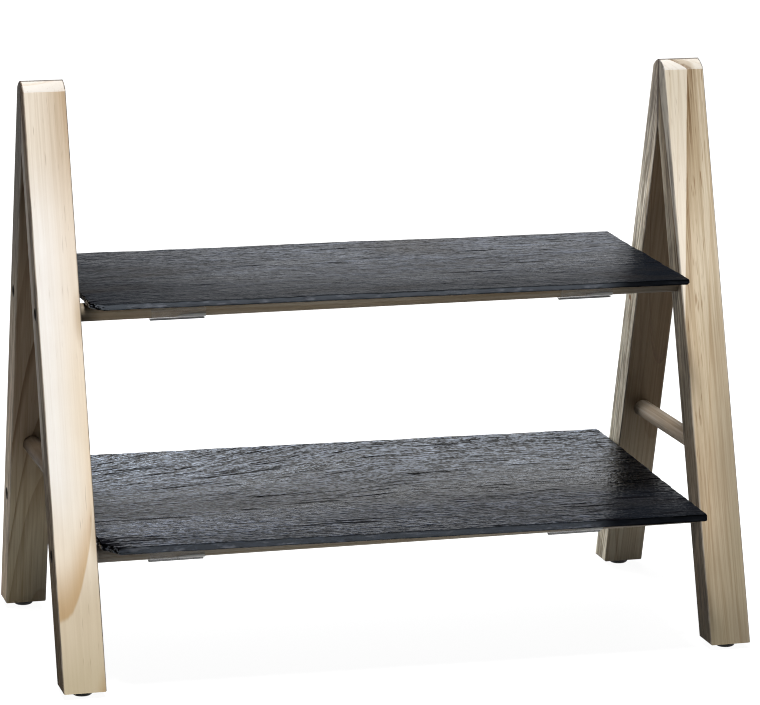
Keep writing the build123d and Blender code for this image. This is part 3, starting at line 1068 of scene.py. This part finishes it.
class STAND_OT_dowels(Operator):
    """Give the dowels, rungs and tenons turned pine with its grain along each piece"""

    bl_idname = "stand.dowels"
    bl_label = "Dowels, Rungs and Tenons"

    def execute(self, context):
        pieces = [(f"{tier}_{side}_dowel", (0, -pi / 2, 0)) for tier in TIERS for side in SIDES]
        pieces += [(f"{end}_{part}", (pi / 2, 0, 0)) for part in ("rung", "apex_tenon") for end in ENDS]
        for number, (name, turn) in enumerate(pieces):
            finish_node(name, make_turned_pine(name, turn, 0.37 * number))
        return {"FINISHED"}


class STAND_OT_clips(Operator):
    """Give the clips clear plastic"""

    bl_idname = "stand.clips"
    bl_label = "Clear Clips"

    def execute(self, context):
        for tier in TIERS:
            plastic = make_clip_plastic(f"{tier}_clip_plastic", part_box(f"{tier}_front_left_clip")[0].z)
            for side in SIDES:
                for end in ENDS:
                    finish_node(f"{tier}_{side}_{end}_clip", plastic)
        return {"FINISHED"}


class STAND_OT_slates(Operator):
    """Lay a split slate board in place of each plain one"""

    bl_idname = "stand.slates"
    bl_label = "Riven Slates"

    def execute(self, context):
        slate = context.scene.stand_slate
        shapes = {
            "upper": (slate.upper_depth, slate.upper_turn), "lower": (slate.lower_depth, slate.lower_turn),
        }
        for tier, (depth, turn) in shapes.items():
            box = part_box(f"{tier}_slate")
            name = f"riven_{tier}_slate"
            mesh = make_slate_mesh(name, box, depth, turn, SLATES[tier])
            stone = make_slate_stone(name, turn, (box[0].y + box[1].y) / 2, depth / 2, SLATES[tier])
            make_object(name, mesh, stone, f"{tier}_board", "slate", f"{tier}_slate")
        return {"FINISHED"}


class STAND_OT_feet(Operator):
    """Put a moulded rubber foot under each leg"""

    bl_idname = "stand.feet"
    bl_label = "Rubber Feet"

    def execute(self, context):
        rubber = make_foot_rubber()
        rounding = context.scene.stand_fittings.foot_round
        for end in ENDS:
            for side in SIDES:
                node = f"{end}_{side}_foot"
                low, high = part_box(node)
                name = f"moulded_{node}"
                profile = foot_profile((high.x - low.x) / 2, high.z - low.z, rounding)
                mesh = make_turned_mesh(name, profile, 56)
                mesh.transform(Matrix.Translation(((low.x + high.x) / 2, (low.y + high.y) / 2, low.z)))
                make_object(name, mesh, rubber, "stand", "foot_rubber", node)
        return {"FINISHED"}


class STAND_OT_screws(Operator):
    """Set a cross-head screw in each counterbore"""

    bl_idname = "stand.screws"
    bl_label = "Dowel Screws"

    def execute(self, context):
        fittings = context.scene.stand_fittings
        rng = np.random.default_rng(5)
        low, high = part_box("dowel_screws")
        steps = 41
        radius, height = fittings.head_radius, fittings.head_height
        x, y, z = screw_head_points(radius, height, fittings.recess_depth, steps)
        points, faces = [], []
        for tier in TIERS:
            for side in SIDES:
                dowel_low, dowel_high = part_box(f"{tier}_{side}_dowel")
                middle = (dowel_low + dowel_high) / 2
                for end in ENDS.values():
                    way = rng.uniform(0, pi / 2)
                    across = x * cos(way) - y * sin(way)
                    up = x * sin(way) + y * cos(way)
                    seat_x = (high.x if end > 0 else low.x) - end * height
                    head = [seat_x + end * z, across * end + middle.y, up + middle.z]
                    first = len(points)
                    points += np.stack([part.ravel() for part in head], 1).tolist()
                    faces += grid_faces(steps, steps, first)
                    rim = (rim_of(np.arange(steps * steps).reshape(steps, steps)) + first).tolist()
                    seat = len(points)
                    points += [(seat_x, points[index][1], points[index][2]) for index in rim]
                    around = len(rim)
                    for step in range(around):
                        beside = (step + 1) % around
                        faces.append((rim[step], seat + step, seat + beside, rim[beside]))
                    faces.append(tuple(seat + step for step in range(around)))
        mesh = new_mesh("cross_head_screws", points, faces, 40)
        make_object("cross_head_screws", mesh, make_screw_steel(), "stand", "screw_steel", "dowel_screws")
        return {"FINISHED"}


class STAND_OT_stage(Operator):
    """Lay the floor and set the light and the camera"""

    bl_idname = "stand.stage"
    bl_label = "Floor, Light and Camera"

    def execute(self, context):
        stage = context.scene.stand_stage
        make_floor(stage)
        make_lights(stage)
        make_world(stage)
        make_camera(stage)
        context.scene.view_settings.view_transform = "Standard"
        context.scene.cycles.filter_width = 1.1
        return {"FINISHED"}


def seen_directly(nodes):
    """1 for rays that show the surroundings: from the camera, in gloss or through clear plastic."""
    camera, gloss, clear = (
        nodes.value("LightPath", None, f"Is {kind} Ray") for kind in ("Camera", "Glossy", "Transmission")
    )
    return camera.at_least(gloss).at_least(clear)


def make_floor(stage):
    """A wide pale floor that looks white and keeps a faint shadow."""
    half = stage.floor_half
    mesh = bpy.data.meshes.new("floor")
    corners = [(-half, -half, 0), (half, -half, 0), (half, half, 0), (-half, half, 0)]
    mesh.from_pydata(corners, [], [(0, 1, 2, 3)])
    floor = bpy.data.objects.new("floor", mesh)
    bpy.context.scene.collection.objects.link(floor)
    material = bpy.data.materials.new("floor_paper")
    nodes = fresh_nodes(material)
    paper = nodes.value("BsdfDiffuse", {"Color": (*stage.floor, 1)})
    whiteness = nodes.coordinates("Object").measure("LENGTH").ease(0.4, 1.2, stage.floor_glow, 1.0)
    lit = nodes.value("AddShader", {0: paper, 1: nodes.value("Emission", {"Strength": whiteness})})
    shown = nodes.value("MixShader", {0: seen_directly(nodes), 1: paper, 2: lit})
    nodes.add("OutputMaterial", {"Surface": shown})
    mesh.materials.append(material)


def make_lights(stage):
    """The lamps, which the camera does not see."""
    for name, (power_setting, size, place, target, mirrored) in LAMPS.items():
        light = bpy.data.lights.new(name, "AREA")
        light.energy = getattr(stage, power_setting)
        light.shape = "RECTANGLE"
        light.size, light.size_y = size
        light.spread = pi
        lamp = bpy.data.objects.new(name, light)
        lamp.location = place
        lamp.rotation_euler = (Vector(target) - Vector(place)).to_track_quat("-Z", "Y").to_euler()
        lamp.visible_camera = False
        lamp.visible_glossy = mirrored
        bpy.context.scene.collection.objects.link(lamp)


def make_world(stage):
    """White surroundings where they are seen, and dim ones that light the stand."""
    world = bpy.data.worlds.new("studio")
    bpy.context.scene.world = world
    nodes = fresh_nodes(world)
    dim = nodes.value("Background", {"Color": (0.94, 0.97, 1, 1), "Strength": stage.ambient})
    overhead = nodes.coordinates("Generated").parts()[2].ease(0.10, 0.55, 1.0, stage.ceiling)
    whiteness = overhead.at_least(nodes.value("LightPath", None, "Is Camera Ray"))
    white = nodes.value("Background", {"Color": (1, 1, 1, 1), "Strength": whiteness})
    shown = nodes.value("MixShader", {0: seen_directly(nodes), 1: dim, 2: white})
    nodes.add("OutputWorld", {"Surface": shown})


def make_camera(stage):
    """The camera, a little above the boards and to the left."""
    camera = bpy.data.cameras.new("camera")
    camera.lens = stage.lens
    camera.clip_end = 50
    viewer = bpy.data.objects.new("camera", camera)
    viewer.location = stage.camera_place
    viewer.rotation_euler = (pi / 2 - stage.camera_fall, 0, stage.camera_turn)
    bpy.context.scene.collection.objects.link(viewer)
    bpy.context.scene.camera = viewer


OPERATORS = (
    STAND_OT_stage,
    STAND_OT_legs,
    STAND_OT_dowels,
    STAND_OT_clips,
    STAND_OT_slates,
    STAND_OT_feet,
    STAND_OT_screws,
)


class STAND_PT_pieces(Panel):
    """Buttons for every piece of the stand"""

    bl_idname = "STAND_PT_pieces"
    bl_label = "Cake Stand"
    bl_space_type = "VIEW_3D"
    bl_region_type = "UI"
    bl_category = "Cake Stand"

    def draw(self, context):
        for operator in OPERATORS:
            self.layout.operator(operator.bl_idname)


CLASSES = (*SETTINGS.values(), *OPERATORS, STAND_PT_pieces)


def register():
    for cls in CLASSES:
        bpy.utils.register_class(cls)
    for name, cls in SETTINGS.items():
        setattr(bpy.types.Scene, name, PointerProperty(type=cls))


def unregister():
    for name in SETTINGS:
        delattr(bpy.types.Scene, name)
    for cls in reversed(CLASSES):
        bpy.utils.unregister_class(cls)


def main():
    register()
    for make_effect in (
        make_grain_frame, make_growth_rings, make_wood_fibre, make_edge_wear, make_handling_marks
    ):
        make_effect()
    bpy.ops.stand.stage()
    bpy.ops.stand.legs()
    bpy.ops.stand.dowels()
    bpy.ops.stand.clips()
    bpy.ops.stand.slates()
    bpy.ops.stand.feet()
    bpy.ops.stand.screws()


if __name__ == "__main__":
    main()
